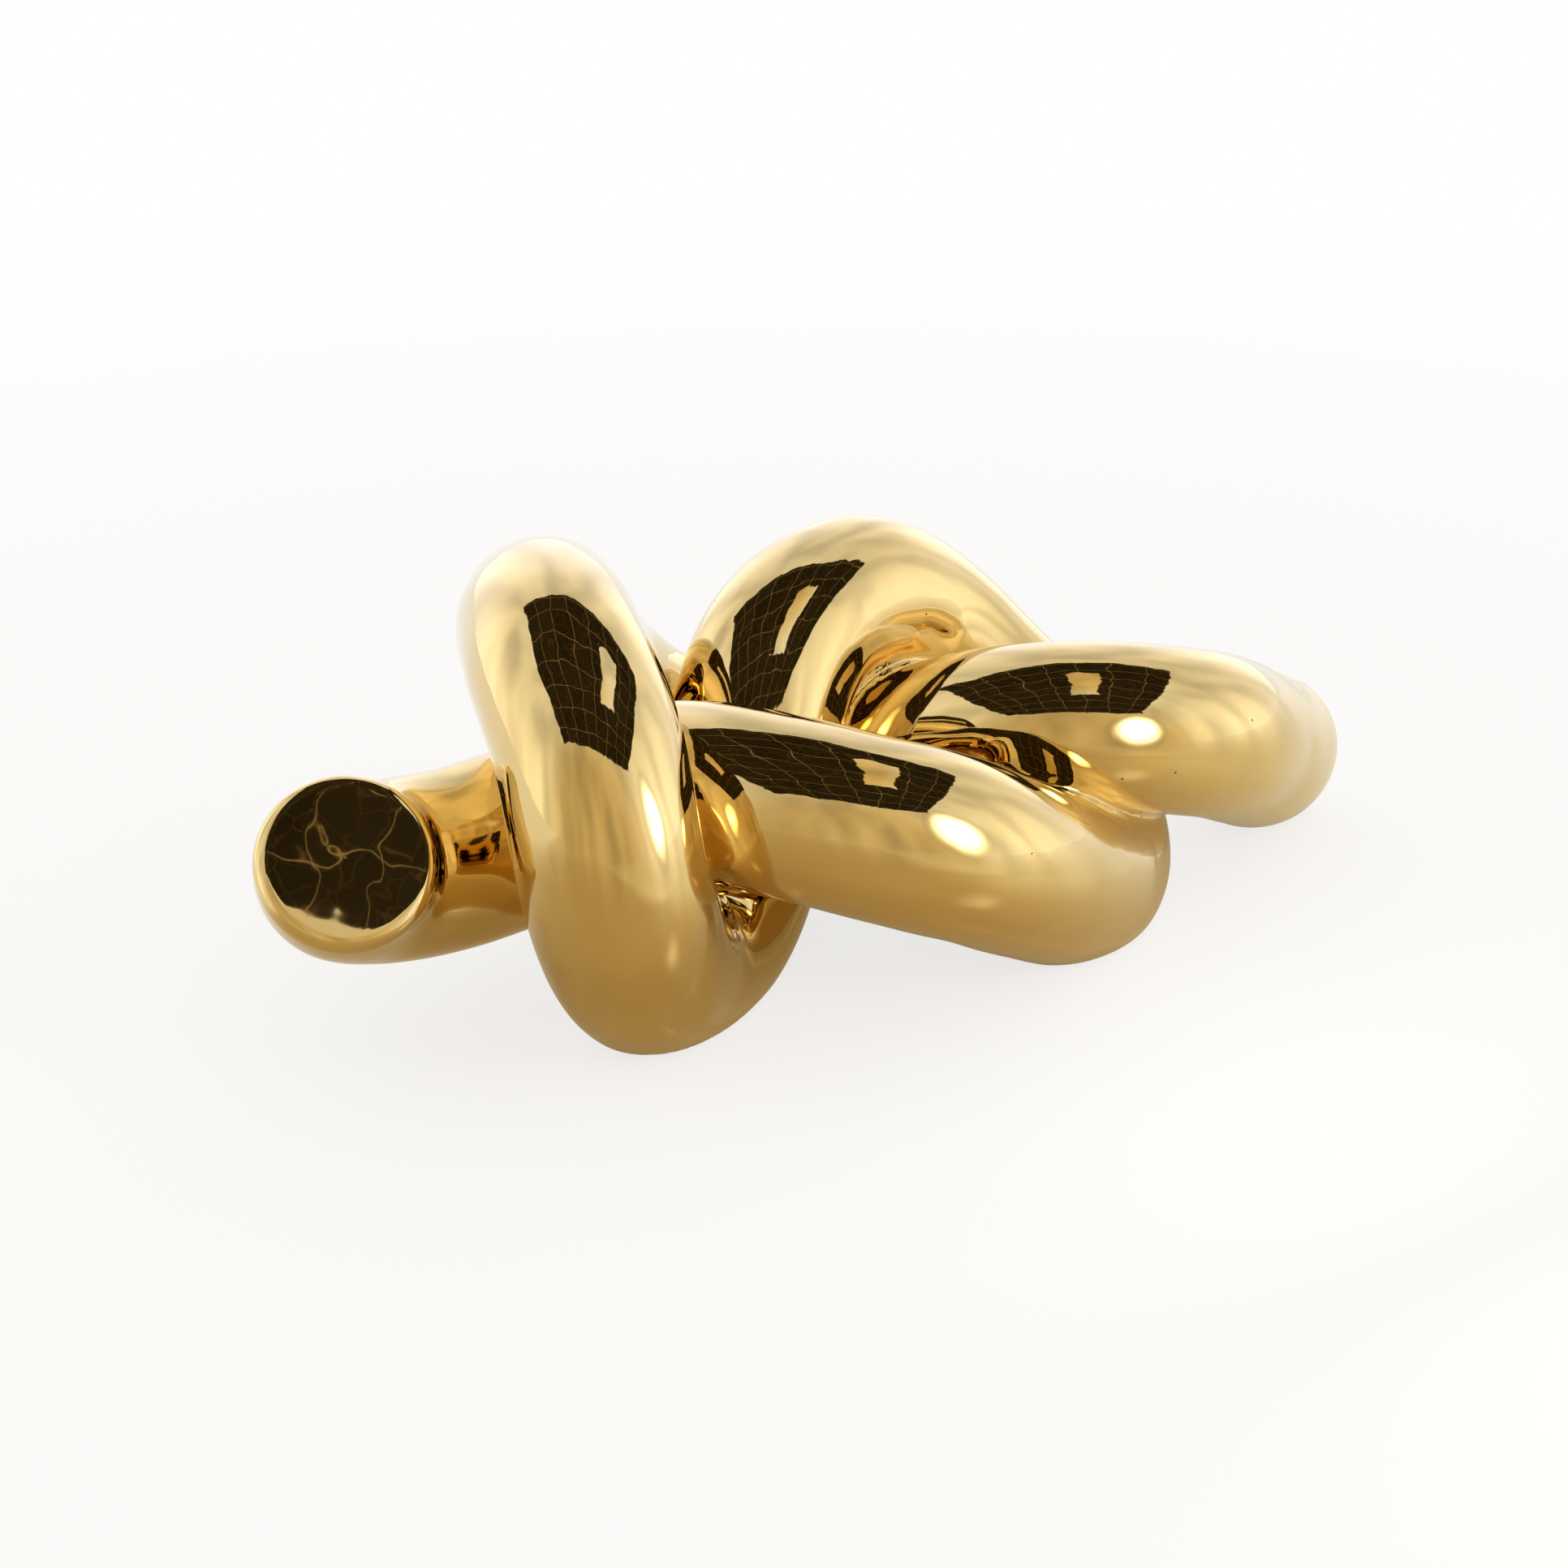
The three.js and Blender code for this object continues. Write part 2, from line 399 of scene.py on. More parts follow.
# %% Profile of an end disc
RIM_RINGS = 14
FACE_RINGS = 24
FACE_RADIUS = STRAND_RADIUS - RIM_RADIUS
INNERMOST = 0.4  # radius of the last ring, which one small face closes
CROWN = 0.75  # how far the middle of the face stands proud
FACE_WAVES = [(0.050, 31.0, 0.64, 1.0), (0.035, 19.0, 2.09, 4.0), (0.018, 12.0, -0.31, 2.0)]


def disc_profile():
    """Radius and height of the rings, from the joint out to the rim and in over the face."""
    turn = np.linspace(0, np.pi / 2, RIM_RINGS)
    rim_r = FACE_RADIUS + RIM_RADIUS * np.cos(turn)
    rim_h = DISC - RIM_RADIUS + RIM_RADIUS * np.sin(turn)
    face_r = np.linspace(FACE_RADIUS, INNERMOST, FACE_RINGS)[1:]
    face_h = DISC + CROWN * (1 - (face_r / FACE_RADIUS) ** 2)
    return np.concatenate([[STRAND_RADIUS], rim_r, face_r]), np.concatenate([[0], rim_h, face_h])


def face_waves(radius):
    """Unevenness of a disc's face, which dies out at its rim: height, length, direction, start."""
    x = radius[:, None] * np.cos(angle)
    y = radius[:, None] * np.sin(angle)
    calm = np.clip(1 - (radius / FACE_RADIUS) ** 2, 0, 1)[:, None]
    return calm * sum(
        height * np.sin(2 * np.pi * (x * np.cos(turn) + y * np.sin(turn)) / length + start)
        for height, length, turn, start in FACE_WAVES
    )


print(f"disc stands {disc_profile()[1].max():.2f} mm beyond the casting")

# %% [markdown]
# The profile's rings are set square on the strand's end. The first ring takes over the casting's normals,
# so that the joint between the two can't be seen. One small face closes the middle, and one the hidden
# back.

# %% The two end discs


def end_disc(name, ring, outward):
    radius, height = disc_profile()
    stand = (height[:, None] + face_waves(radius))[:, :, None]
    spread = (radius[:, None] * (1 + unevenness[ring] / STRAND_RADIUS))[:, :, None]
    direction = tangent[ring] * outward
    rings = axis[ring] + direction * stand + spoke[ring][None] * spread
    grind(rings, floor_cut)
    normal = grid_normals(rings) * outward
    normal[0] = skin_normal[ring]
    points = rings.reshape(-1, 3)
    quads = ring_quads(len(radius), 0, flip=outward < 0)
    back = np.arange(SIDES)
    face = len(points) - SIDES + np.arange(SIDES)
    caps = [back[::-1], face] if outward > 0 else [back, face[::-1]]
    faces = [*quads.tolist(), *[cap.tolist() for cap in caps]]
    normals = np.concatenate([
        normal.reshape(-1, 3)[quads].reshape(-1, 3),
        np.tile(-direction, (SIDES, 1)), np.tile(direction, (SIDES, 1)),
    ])
    return make_piece(name, points, faces, normals)


left_cap = end_disc("left_end_cap", 0, -1)
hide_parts("left_end_disc")
right_cap = end_disc("right_end_cap", len(stations) - 1, 1)
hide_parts("right_end_disc")
gold_pieces += [left_cap, right_cap]

# %% [markdown]
# Materials are built from nodes. Colours are written as hex values, as in any paint program, and turned
# into the linear light that the renderer works in. Patterns are written in millimetres.

# %% Colour and node helpers


def colour(hex_code):
    channels = [int(hex_code[i:i + 2], 16) / 255 for i in (1, 3, 5)]
    linear = [c / 12.92 if c <= 0.04045 else ((c + 0.055) / 1.055) ** 2.4 for c in channels]
    return (*linear, 1.0)


def per_metre(size_mm):
    """Texture scale for a pattern of that size in millimetres."""
    return 1 / (size_mm * MM)


def add(tree, kind, settings=None, links=None):
    """Adds a node, sets its values and properties, and links its inputs."""
    node = tree.nodes.new(kind)
    for key, value in (settings or {}).items():
        if isinstance(key, str) and hasattr(node, key):
            setattr(node, key, value)
        else:
            node.inputs[key].default_value = value
    for key, source in (links or {}).items():
        tree.links.new(source, node.inputs[key])
    return node


def new_material(name):
    material = bpy.data.materials.new(name)
    material.use_nodes = True
    tree = material.node_tree
    tree.nodes.clear()
    return material, tree


print("half grey is", round(colour("#808080")[0], 3), "in linear light")

# %% [markdown]
# Gold lustre is a film of metal, thinner than a hair, fired onto a glassy glaze. The film gives the colour
# of gold and the glaze gives the mirror gloss, with slow ripples where it flowed, faint cloudy variation
# where the film is thicker or thinner, and a few pinholes where gas broke through. To the eye that is a
# metal under a clear coat, with reflections that wander slightly.

# %% Gold lustre
CLOUD = 55.0  # patches of thicker and thinner film, in millimetres
FILM_DARK, FILM_PALE = "#dfc078", "#e9cd8c"
FILM_RANGE = (0.30, 0.72)  # share of the clouds that is fully dark, and where fully pale begins
PIT_SPACING = 11.0
PIT_RARITY = 0.86  # share of the places for a pinhole that stay whole
PIT_SIZE = (0.035, 0.060)  # radius in shares of the spacing: about 0.4 mm, or 0.7 mm with its soft edge
PIT_DEPTH = 0.3
PIT_COLOUR = "#5a3c16"
HAZE = 18.0  # patches of slightly duller film
HAZE_ROUGHNESS = (0.02, 0.05)
RIPPLE = 16.0
RIPPLE_HEIGHT = 0.2


def pinholes(tree, place):
    """1 in a few small pits, 0 elsewhere."""
    cell = add(tree, "ShaderNodeTexVoronoi", {"Scale": per_metre(PIT_SPACING)}, {"Vector": place})
    rare = add(tree, "ShaderNodeSeparateColor", None, {"Color": cell.outputs["Color"]})
    chosen = add(tree, "ShaderNodeMath", {"operation": "GREATER_THAN", 1: PIT_RARITY},
                 {0: rare.outputs["Red"]})
    pit = add(tree, "ShaderNodeMapRange",
              {"From Min": PIT_SIZE[0], "From Max": PIT_SIZE[1], "To Min": 1.0, "To Max": 0.0},
              {"Value": cell.outputs["Distance"]})
    both = add(tree, "ShaderNodeMath", {"operation": "MULTIPLY"},
               {0: pit.outputs["Result"], 1: chosen.outputs["Value"]})
    return both.outputs["Value"]


def gold_lustre():
    material, tree = new_material("gold_lustre_over_glaze")
    place = add(tree, "ShaderNodeTexCoord").outputs["Object"]
    cloud = add(tree, "ShaderNodeTexNoise", {"Scale": per_metre(CLOUD), "Detail": 3.0}, {"Vector": place})
    tone = add(tree, "ShaderNodeValToRGB", None, {"Fac": cloud.outputs["Fac"]})
    tone.color_ramp.elements[0].position = FILM_RANGE[0]
    tone.color_ramp.elements[0].color = colour(FILM_DARK)
    tone.color_ramp.elements[1].position = FILM_RANGE[1]
    tone.color_ramp.elements[1].color = colour(FILM_PALE)
    pinhole = pinholes(tree, place)
    speckled = add(tree, "ShaderNodeMix", {"data_type": "RGBA", "B": colour(PIT_COLOUR)},
                   {"Factor": pinhole, "A": tone.outputs["Color"]})
    haze = add(tree, "ShaderNodeTexNoise", {"Scale": per_metre(HAZE), "Detail": 4.0}, {"Vector": place})
    gloss = add(tree, "ShaderNodeMapRange", {"To Min": HAZE_ROUGHNESS[0], "To Max": HAZE_ROUGHNESS[1]},
                {"Value": haze.outputs["Fac"]})
    flow = add(tree, "ShaderNodeTexNoise", {"Scale": per_metre(RIPPLE), "Detail": 1.0}, {"Vector": place})
    ripple = add(tree, "ShaderNodeBump", {"Strength": 1.0, "Distance": RIPPLE_HEIGHT * MM},
                 {"Height": flow.outputs["Fac"]})
    dents = add(tree, "ShaderNodeBump", {"Strength": 0.6, "Distance": PIT_DEPTH * MM, "invert": True},
                {"Height": pinhole, "Normal": ripple.outputs["Normal"]})
    shader = add(tree, "ShaderNodeBsdfPrincipled",
                 {"Metallic": 1.0, "Coat Weight": 1.0, "Coat Roughness": 0.03, "Coat IOR": 1.5},
                 {"Base Color": speckled.outputs["Result"], "Roughness": gloss.outputs["Result"],
                  "Normal": dents.outputs["Normal"], "Coat Normal": dents.outputs["Normal"]})
    add(tree, "ShaderNodeOutputMaterial", None, {"Surface": shader.outputs["BSDF"]})
    return material


gold = gold_lustre()
for piece in gold_pieces:
    piece.data.materials.append(gold)
    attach(piece, "root")
print("gold pieces:", [piece.name for piece in gold_pieces])

# %% [markdown]
# Under the ground flats sit pads of pressed wool felt. They hardly show, but they are seen when the knot
# is turned over: dark, matt, with short fibres lying every way and a soft sheen at the edges. The CAD pads
# have the right shape already, so they only get this finish.

# %% Felt pads
FIBRE = 0.8  # millimetres, coarser than wool so that it shows
FUZZ_HEIGHT = 0.3
FELT_DARK, FELT_PALE = "#1c1916", "#4a433c"


def pressed_felt():
    material, tree = new_material("pressed_wool_felt")
    place = add(tree, "ShaderNodeTexCoord").outputs["Object"]
    fibre = add(tree, "ShaderNodeTexNoise", {"Scale": per_metre(FIBRE), "Detail": 6.0, "Distortion": 2.0},
                {"Vector": place})
    tone = add(tree, "ShaderNodeValToRGB", None, {"Fac": fibre.outputs["Fac"]})
    tone.color_ramp.elements[0].color = colour(FELT_DARK)
    tone.color_ramp.elements[1].color = colour(FELT_PALE)
    fuzz = add(tree, "ShaderNodeBump", {"Strength": 0.7, "Distance": FUZZ_HEIGHT * MM},
               {"Height": fibre.outputs["Fac"]})
    shader = add(tree, "ShaderNodeBsdfPrincipled", {"Roughness": 0.95, "Sheen Weight": 0.4},
                 {"Base Color": tone.outputs["Color"], "Normal": fuzz.outputs["Normal"]})
    add(tree, "ShaderNodeOutputMaterial", None, {"Surface": shader.outputs["BSDF"]})
    return material


felt = pressed_felt()
felt_pads = ["front_felt_pad", "loop_felt_pad", "tail_felt_pad"]
for name in felt_pads:
    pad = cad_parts[name]
    pad.data.materials.clear()
    pad.data.materials.append(felt)
print("felt on:", felt_pads)

# %% [markdown]
# A mirror shows its surroundings, so the studio matters as much as the finish. It is built from flat sheets,
# which aren't part of the object.

# %% Studio helpers
SOFT_STEP = {"interpolation_type": "SMOOTHSTEP"}


def panel(name, corners, material):
    mesh = bpy.data.meshes.new(name)
    mesh.from_pydata([[v * MM for v in corner] for corner in corners], [], [[0, 1, 2, 3]])
    mesh.materials.append(material)
    sheet = bpy.data.objects.new(name, mesh)
    bpy.context.scene.collection.objects.link(sheet)
    print("stage:", name)
    return sheet


def flat_panel(name, low, high, height, material):
    (x0, y0), (x1, y1) = low, high
    return panel(name, [(x0, y0, height), (x1, y0, height), (x1, y1, height), (x0, y1, height)], material)


# %% [markdown]
# The table is white. Close to the knot a share of it is lit like any board, so that the knot's shadow lies
# there; further out it fades to the plain white of the background. The gold mirrors a mat of kraft paper that
# lies in front: it gives the lower halves of the strands their deeper gold. On the right, where the soft
# light stands, the paper is painted paler, a painted pool of that light.

# %% The mat
MAT_TURN = (-0.67, 0.74, 0.0)  # square to the back edge of the mat, which lies askew on the table
MAT_EDGE = (40.0, 260.0)  # the mat fades out between these distances from the middle
# the paper's colour, and the paler colour painted on where the soft light falls
PAPER, PAPER_IN_LAMPLIGHT = "#cab486", "#f1e8ca"
LAMPLIGHT_POOL = (70.0, 270.0)  # how far to the right it turns pale
# Painted light: a share of the paper glows by itself, which lifts its shade.
MAT_GLOW_SHARE = 0.4  # how much of the mat's shade is lifted by light from all round
MAT_GLOW_POWER = 0.9


def kraft_mat(tree, place):
    across = add(tree, "ShaderNodeSeparateXYZ", None, {"Vector": place}).outputs["X"]
    # painted light: towards the soft light on the right, the paper is drawn paler
    lamplit_side = add(tree, "ShaderNodeMapRange",
                   {**SOFT_STEP, "From Min": LAMPLIGHT_POOL[0] * MM, "From Max": LAMPLIGHT_POOL[1] * MM},
                   {"Value": across})
    kraft = add(tree, "ShaderNodeMix",
                {"data_type": "RGBA", "A": colour(PAPER), "B": colour(PAPER_IN_LAMPLIGHT)},
                {"Factor": lamplit_side.outputs["Result"]})
    matt = add(tree, "ShaderNodeBsdfDiffuse", None, {"Color": kraft.outputs["Result"]})
    # painted light: the paper glows in its own colour, so its shade is lifted
    glowing_paper = add(tree, "ShaderNodeEmission", {"Strength": MAT_GLOW_POWER}, {"Color": kraft.outputs["Result"]})
    paper = add(tree, "ShaderNodeMixShader", {"Fac": MAT_GLOW_SHARE},
                {1: matt.outputs["BSDF"], 2: glowing_paper.outputs["Emission"]})
    gloss = add(tree, "ShaderNodeBsdfGlossy", {"Color": colour("#ffffff"), "Roughness": 0.2})
    facing = add(tree, "ShaderNodeFresnel", {"IOR": 1.45})
    mat = add(tree, "ShaderNodeMixShader", None,
              {"Fac": facing.outputs["Fac"], 1: paper.outputs["Shader"], 2: gloss.outputs["BSDF"]})
    return mat.outputs["Shader"]


def off_the_mat(tree, place):
    away = add(tree, "ShaderNodeVectorMath", {"operation": "DOT_PRODUCT", 1: MAT_TURN}, {0: place})
    fade = add(tree, "ShaderNodeMapRange",
               {**SOFT_STEP, "From Min": MAT_EDGE[0] * MM, "From Max": MAT_EDGE[1] * MM},
               {"Value": away.outputs["Value"]})
    return fade.outputs["Result"]


print("mat fades out between", MAT_EDGE, "mm")

# %% [markdown]
# One material serves for the board and the mat. Light Path tells what kind of ray arrives: the camera sees
# the white board, a mirrored ray sees the mat where it lies, and all other light meets a white board.

# %% The table
TABLE_HALF = 6000.0
SHADOW_SHARE = 0.25  # how much of the white table is lit, and so can be shaded, close to the knot
SHADOW_REACH = (400.0, 1500.0)  # further out it fades to plain white


def pale_table():
    material, tree = new_material("pale_table")
    ray = add(tree, "ShaderNodeLightPath")
    place = add(tree, "ShaderNodeTexCoord").outputs["Object"]
    board = add(tree, "ShaderNodeBsdfDiffuse", {"Color": colour("#ffffff")})
    white = add(tree, "ShaderNodeEmission", {"Color": colour("#ffffff"), "Strength": 1.0})
    reach = add(tree, "ShaderNodeVectorMath", {"operation": "LENGTH"}, {0: place})
    shaded = add(tree, "ShaderNodeMapRange",
                 {**SOFT_STEP, "From Min": SHADOW_REACH[0] * MM, "From Max": SHADOW_REACH[1] * MM,
                  "To Min": SHADOW_SHARE, "To Max": 0.0}, {"Value": reach.outputs["Value"]})
    seen = add(tree, "ShaderNodeMixShader", None,
               {"Fac": shaded.outputs["Result"], 1: white.outputs["Emission"], 2: board.outputs["BSDF"]})
    spread = add(tree, "ShaderNodeMixShader", None,
                 {"Fac": off_the_mat(tree, place), 1: kraft_mat(tree, place), 2: seen.outputs["Shader"]})
    mirrored = add(tree, "ShaderNodeMath", {"operation": "MAXIMUM"},
                   {0: ray.outputs["Is Glossy Ray"], 1: ray.outputs["Is Transmission Ray"]})
    unseen = add(tree, "ShaderNodeMixShader", None,
                 {"Fac": mirrored.outputs["Value"], 1: board.outputs["BSDF"], 2: spread.outputs["Shader"]})
    both = add(tree, "ShaderNodeMixShader", None,
               {"Fac": ray.outputs["Is Camera Ray"], 1: unseen.outputs["Shader"], 2: seen.outputs["Shader"]})
    add(tree, "ShaderNodeOutputMaterial", None, {"Surface": both.outputs["Shader"]})
    return material


flat_panel("table", (-TABLE_HALF, -TABLE_HALF), (TABLE_HALF, TABLE_HALF), 0.0, pale_table())

# %% [markdown]
# A flag of black cloth hangs over the set, so that the gold has something dark to mirror: without it the
# metal looks like yellow plastic. The cloth is sewn from squares with pale tape, and a gap between two
# lengths of it lets some light through. It sags and its edges are frayed, so neither the squares nor the
# outline are straight: noise bends both.

# %% Bending and cutting cloth
SAG = (170, 80)  # size of the sags in the cloth and how far they draw it, in millimetres
FRAY = (48, 40)  # the same for its frayed edges


def within(tree, place, low, high):
    """1 inside a rectangle of the set's plan and 0 outside it."""
    middle = [(a + b) / 2 * MM for a, b in zip(low, high)]
    half = [(b - a) / 2 * MM for a, b in zip(low, high)]
    offset = add(tree, "ShaderNodeVectorMath", {"operation": "SUBTRACT", 1: (*middle, 0.0)}, {0: place})
    share = add(tree, "ShaderNodeVectorMath", {"operation": "DIVIDE", 1: (*half, 1.0)},
                {0: offset.outputs["Vector"]})
    size = add(tree, "ShaderNodeVectorMath", {"operation": "ABSOLUTE"}, {0: share.outputs["Vector"]})
    parts = add(tree, "ShaderNodeSeparateXYZ", None, {"Vector": size.outputs["Vector"]})
    reach = add(tree, "ShaderNodeMath", {"operation": "MAXIMUM"},
                {0: parts.outputs["X"], 1: parts.outputs["Y"]})
    inside = add(tree, "ShaderNodeMath", {"operation": "LESS_THAN", 1: 1.0}, {0: reach.outputs["Value"]})
    return inside.outputs["Value"]


def bent(tree, place, size_mm, amount_mm):
    """A place shifted by noise of that size, by up to half that amount."""
    noise = add(tree, "ShaderNodeTexNoise", {"Scale": per_metre(size_mm), "Detail": 2.0}, {"Vector": place})
    middle = add(tree, "ShaderNodeVectorMath", {"operation": "SUBTRACT", 1: (0.5, 0.5, 0.5)},
                 {0: noise.outputs["Color"]})
    shift = add(tree, "ShaderNodeVectorMath", {"operation": "SCALE", "Scale": amount_mm * MM},
                {0: middle.outputs["Vector"]})
    moved_place = add(tree, "ShaderNodeVectorMath", {"operation": "ADD"},
                      {0: place, 1: shift.outputs["Vector"]})
    return moved_place.outputs["Vector"]


print("cloth sags by up to", SAG[1] / 2, "mm")

# %% [markdown]
# Taped squares and fine creases keep the dark from looking like a hole in the gold. The flag shows in
# mirrors only: it casts no shadow, and the camera doesn't see it.

# %% The black flag
FLAG_HEIGHT = 535.0
FLAG_LOW, FLAG_HIGH = (-385.0, -483.0), (390.0, 214.0)
SLOT_LOW, SLOT_HIGH = (55.0, -215.0), (155.0, 60.0)
FRINGE = 60.0  # spare cloth round the outline, for the fraying to eat into
SQUARE = 97.0
TAPE = 0.005  # share of a square
CREASES = 42.0  # spacing of the fine creases in the cloth
CREASE_WIDTH = (0.004, 0.014)  # shares of that spacing
# how much paler the cloth is drawn along its creases
CREASE_PALENESS = 0.8


def black_cloth():
    material, tree = new_material("black_flag_cloth")
    place = add(tree, "ShaderNodeTexCoord").outputs["Object"]
    drawn = bent(tree, place, *SAG)
    frayed = bent(tree, drawn, *FRAY)
    squares = add(tree, "ShaderNodeTexBrick",
                  {"offset": 0.0, "Color1": colour("#241f16"), "Color2": colour("#2c2519"),
                   "Mortar": colour("#cdb686"), "Scale": per_metre(SQUARE), "Mortar Size": TAPE,
                   "Mortar Smooth": 0.2, "Brick Width": 1.0, "Row Height": 1.0}, {"Vector": drawn})
    crease = add(tree, "ShaderNodeTexVoronoi", {"feature": "DISTANCE_TO_EDGE", "Scale": per_metre(CREASES)},
                 {"Vector": drawn})
    # the cloth is drawn paler along its creases
    pale_creases = add(tree, "ShaderNodeMapRange",
               {"From Min": CREASE_WIDTH[0], "From Max": CREASE_WIDTH[1],
                "To Min": CREASE_PALENESS, "To Max": 0.0}, {"Value": crease.outputs["Distance"]})
    creased = add(tree, "ShaderNodeMix", {"data_type": "RGBA", "B": colour("#5e4d33")},
                  {"Factor": pale_creases.outputs["Result"], "A": squares.outputs["Color"]})
    dark = add(tree, "ShaderNodeEmission", {"Strength": 1.0}, {"Color": creased.outputs["Result"]})
    clear = add(tree, "ShaderNodeBsdfTransparent")
    cover = add(tree, "ShaderNodeMath", {"operation": "SUBTRACT", "use_clamp": True},
                {0: within(tree, frayed, FLAG_LOW, FLAG_HIGH), 1: within(tree, frayed, SLOT_LOW, SLOT_HIGH)})
    hung = add(tree, "ShaderNodeMixShader", None,
               {"Fac": cover.outputs["Value"], 1: clear.outputs["BSDF"], 2: dark.outputs["Emission"]})
    add(tree, "ShaderNodeOutputMaterial", None, {"Surface": hung.outputs["Shader"]})
    return material


flag = flat_panel("flag", [v - FRINGE for v in FLAG_LOW], [v + FRINGE for v in FLAG_HIGH],
                  FLAG_HEIGHT, black_cloth())
flag.visible_camera = False
flag.visible_diffuse = False
flag.visible_shadow = False

# %% [markdown]
# A small soft light stands close by at the right. It is brightest in the middle and fades to its edges, as
# cloth in front of a lamp does, so its streaks on the gold have no hard outline.

# %% The soft light
LIGHT_MIDDLE = (208.0, -237.0, 180.0)
LIGHT_HALF = (80.0, 56.0, 140.0)
LIGHT_POWER = 14.0
LIGHT_EDGE = 6.0  # how quickly the cloth of its edge turns opaque


def soft_light():
    material, tree = new_material("softbox_face")
    place = add(tree, "ShaderNodeTexCoord").outputs["Object"]
    from_middle = add(tree, "ShaderNodeVectorMath",
                      {"operation": "SUBTRACT", 1: [v * MM for v in LIGHT_MIDDLE]}, {0: place})
    (half_x, half_y, half_z), slant = LIGHT_HALF, math.sqrt(2)  # it stands slantwise, over both x and y
    per_half = [1 / (half_x * slant * MM), 1 / (half_y * slant * MM), 1 / (half_z * MM)]
    in_halves = add(tree, "ShaderNodeVectorMath", {"operation": "MULTIPLY", 1: per_half},
                    {0: from_middle.outputs["Vector"]})
    fade = add(tree, "ShaderNodeTexGradient", {"gradient_type": "QUADRATIC_SPHERE"},
               {"Vector": in_halves.outputs["Vector"]})
    power = add(tree, "ShaderNodeMath", {"operation": "MULTIPLY", 1: LIGHT_POWER}, {0: fade.outputs["Fac"]})
    lamp = add(tree, "ShaderNodeEmission", {"Color": colour("#fffaf0")}, {"Strength": power.outputs["Value"]})
    clear = add(tree, "ShaderNodeBsdfTransparent")
    lit = add(tree, "ShaderNodeMath", {"operation": "MULTIPLY", 1: LIGHT_EDGE, "use_clamp": True},
              {0: fade.outputs["Fac"]})
    face = add(tree, "ShaderNodeMixShader", None,
               {"Fac": lit.outputs["Value"], 1: clear.outputs["BSDF"], 2: lamp.outputs["Emission"]})
    add(tree, "ShaderNodeOutputMaterial", None, {"Surface": face.outputs["Shader"]})
    return material


(lx, ly, lz), (hx, hy, hz) = LIGHT_MIDDLE, LIGHT_HALF
softbox = panel("softbox", [(lx - hx, ly - hy, lz - hz), (lx + hx, ly + hy, lz - hz),
                            (lx + hx, ly + hy, lz + hz), (lx - hx, ly - hy, lz + hz)], soft_light())
softbox.visible_camera = False

# %% [markdown]
# All round the set hangs a white curtain, brightest low down and dimmer overhead. Its folds give the long
# pale streaks that polished metal shows. Straight in front it is open to the room, which is the colour of
# the mat, and a warm ceiling shows through the gap in the flag. The camera itself sees plain white.

# %% The surroundings
ROOM = "#d5c49d"
ROOM_EDGE = (-0.85, -0.35)  # where the view to the front turns from the room to the curtain
CEILING = "#ecd9a8"
CEILING_EDGE = (0.88, 0.97)  # how steeply one has to look up to see it
LOW_POWER, HIGH_POWER = 1.3, 0.85
RISE = (0.15, 0.75)  # how steeply one looks up where the curtain starts and ends to dim
FOLDS = (3.4, 3.4, 0.4)  # folds per turn of the head, close side by side and long from top to bottom
FOLD_DEPTH = (0.35, 0.65)
FOLD_SHADE = (0.78, 1.15)


def curtain_power(tree, direction, steepness, to_room):
    dimmed = add(tree, "ShaderNodeMapRange",
                 {**SOFT_STEP, "From Min": RISE[0], "From Max": RISE[1],
                  "To Min": LOW_POWER, "To Max": HIGH_POWER}, {"Value": steepness})
    open_room = add(tree, "ShaderNodeMapRange", {"From Min": 0.0, "From Max": 1.0, "To Min": 1.0},
                    {"Value": to_room, "To Max": dimmed.outputs["Result"]})
    stretched = add(tree, "ShaderNodeVectorMath", {"operation": "MULTIPLY", 1: FOLDS}, {0: direction})
    fold = add(tree, "ShaderNodeTexNoise", {"Scale": 1.0, "Detail": 1.0},
               {"Vector": stretched.outputs["Vector"]})
    shade = add(tree, "ShaderNodeMapRange",
                {"From Min": FOLD_DEPTH[0], "From Max": FOLD_DEPTH[1],
                 "To Min": FOLD_SHADE[0], "To Max": FOLD_SHADE[1]}, {"Value": fold.outputs["Fac"]})
    power = add(tree, "ShaderNodeMath", {"operation": "MULTIPLY"},
                {0: open_room.outputs["Result"], 1: shade.outputs["Result"]})
    return power.outputs["Value"]


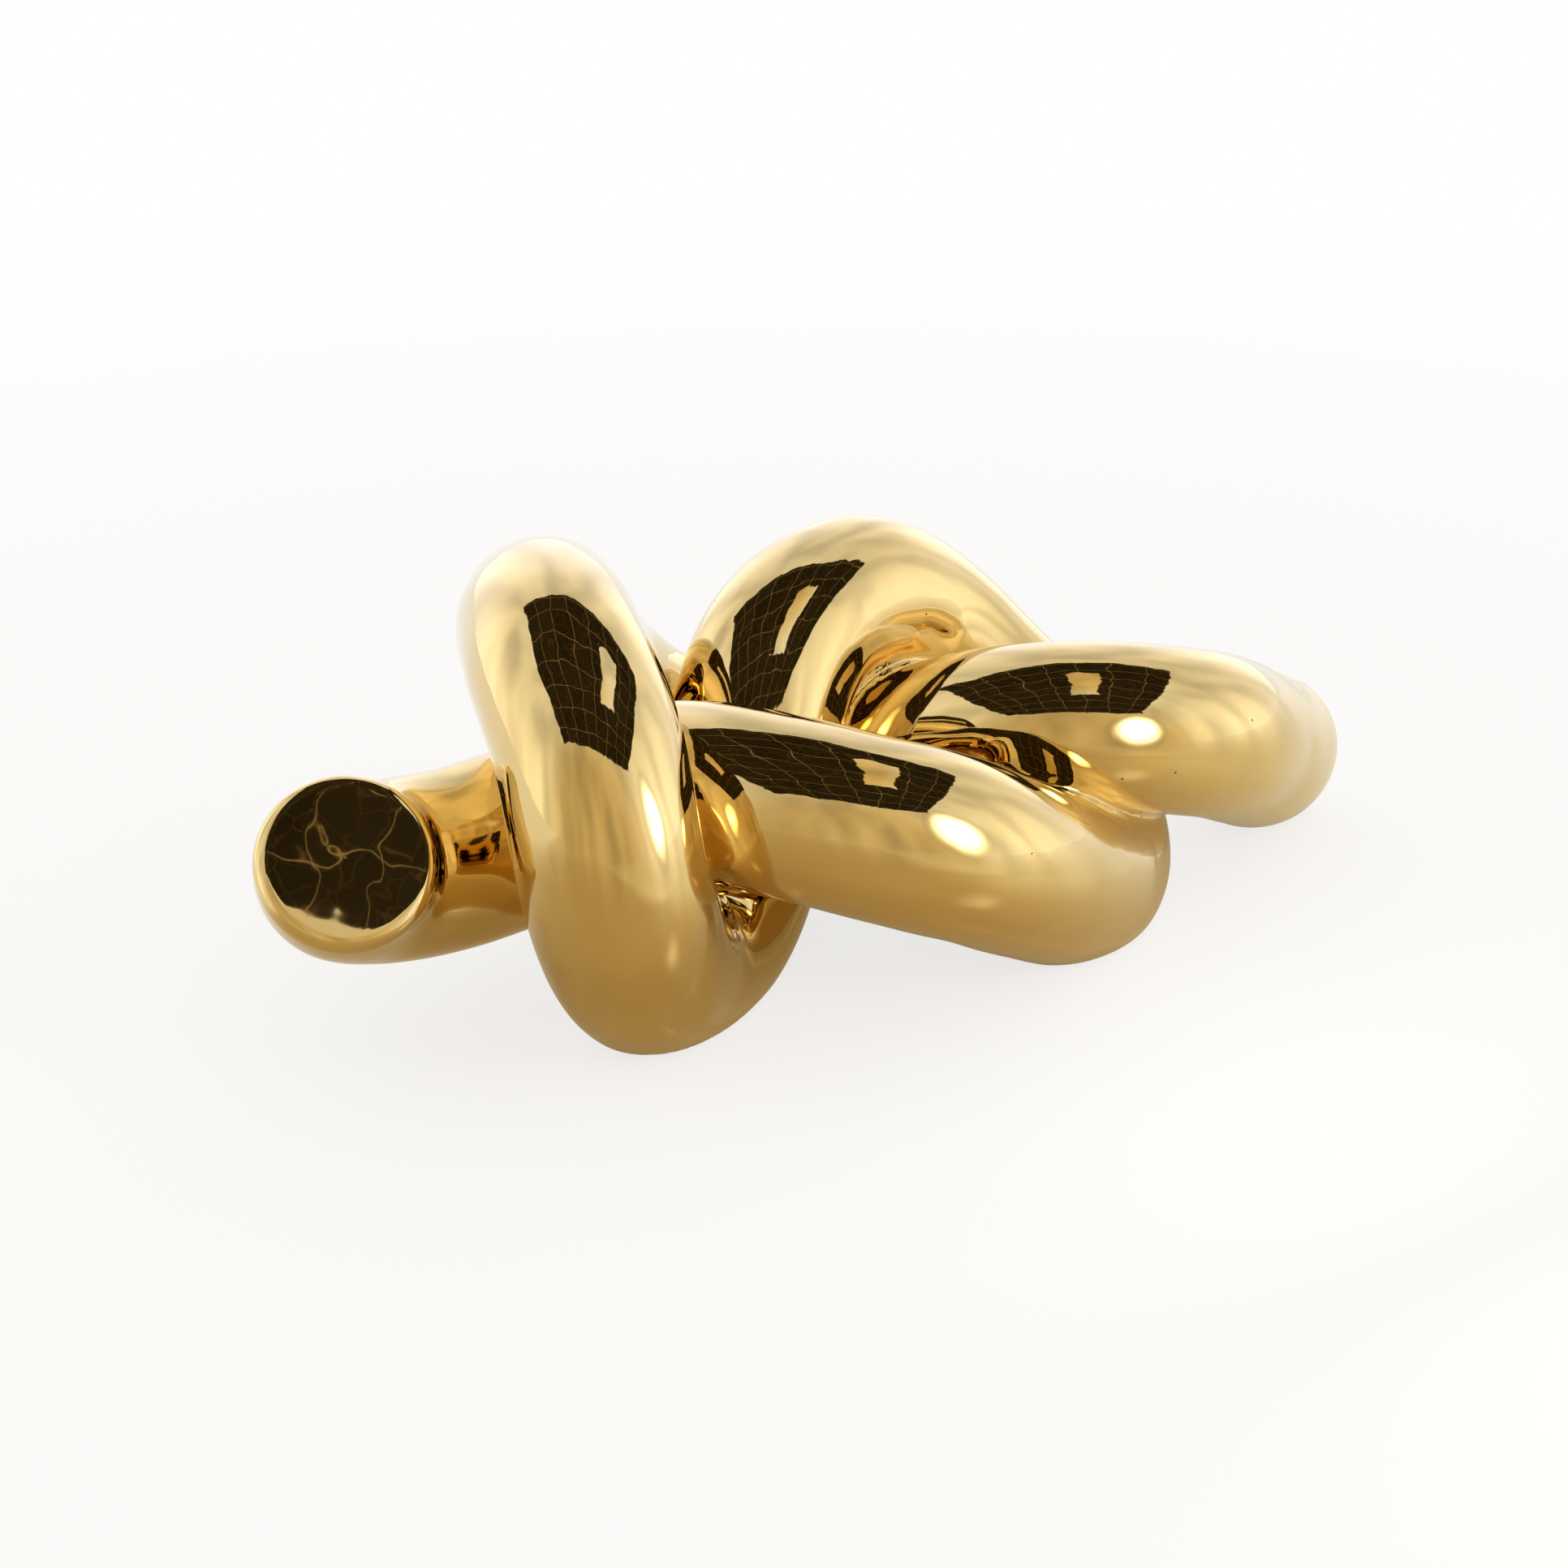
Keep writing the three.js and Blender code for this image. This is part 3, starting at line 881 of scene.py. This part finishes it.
def surroundings():
    world = bpy.data.worlds.new("studio")
    world.use_nodes = True
    tree = world.node_tree
    tree.nodes.clear()
    ray = add(tree, "ShaderNodeLightPath")
    direction = add(tree, "ShaderNodeTexCoord").outputs["Generated"]
    parts = add(tree, "ShaderNodeSeparateXYZ", None, {"Vector": direction})
    to_room = add(tree, "ShaderNodeMapRange",
                  {**SOFT_STEP, "From Min": ROOM_EDGE[0], "From Max": ROOM_EDGE[1]},
                  {"Value": parts.outputs["Y"]})
    tone = add(tree, "ShaderNodeMix", {"data_type": "RGBA", "A": colour(ROOM), "B": colour("#ffffff")},
               {"Factor": to_room.outputs["Result"]})
    overhead = add(tree, "ShaderNodeMapRange", {"From Min": CEILING_EDGE[0], "From Max": CEILING_EDGE[1]},
                   {"Value": parts.outputs["Z"]})
    lit_tone = add(tree, "ShaderNodeMix", {"data_type": "RGBA", "B": colour(CEILING)},
                   {"Factor": overhead.outputs["Result"], "A": tone.outputs["Result"]})
    power = curtain_power(tree, direction, parts.outputs["Z"], to_room.outputs["Result"])
    room = add(tree, "ShaderNodeBackground", None, {"Color": lit_tone.outputs["Result"], "Strength": power})
    white = add(tree, "ShaderNodeBackground", {"Color": colour("#ffffff"), "Strength": 1.0})
    both = add(tree, "ShaderNodeMixShader", None,
               {"Fac": ray.outputs["Is Camera Ray"], 1: room.outputs["Background"],
                2: white.outputs["Background"]})
    add(tree, "ShaderNodeOutputWorld", None, {"Surface": both.outputs["Shader"]})
    return world


bpy.context.scene.world = surroundings()
print("world:", bpy.context.scene.world.name)

# %% [markdown]
# The camera stands straight in front and a little above, far enough back that the knot isn't distorted.
# The view transform is the plain one, so a colour renders about as it is written.

# %% Camera
ELEVATION = math.radians(23.76)
DISTANCE = 1132.7
AIM = (-28.0, 10.0, 62.4)
LENS = 63.0
SENSOR = 36.0

eye = bpy.data.cameras.new("camera")
eye.lens = LENS
eye.sensor_width = SENSOR
camera = bpy.data.objects.new("camera", eye)
bpy.context.scene.collection.objects.link(camera)
camera.location = (
    AIM[0] * MM,
    (AIM[1] - DISTANCE * math.cos(ELEVATION)) * MM,
    (AIM[2] + DISTANCE * math.sin(ELEVATION)) * MM,
)
camera.rotation_euler = (math.pi / 2 - ELEVATION, 0, 0)
bpy.context.scene.camera = camera
bpy.context.scene.view_settings.view_transform = "Standard"
print("camera at", [round(v, 3) for v in camera.location])
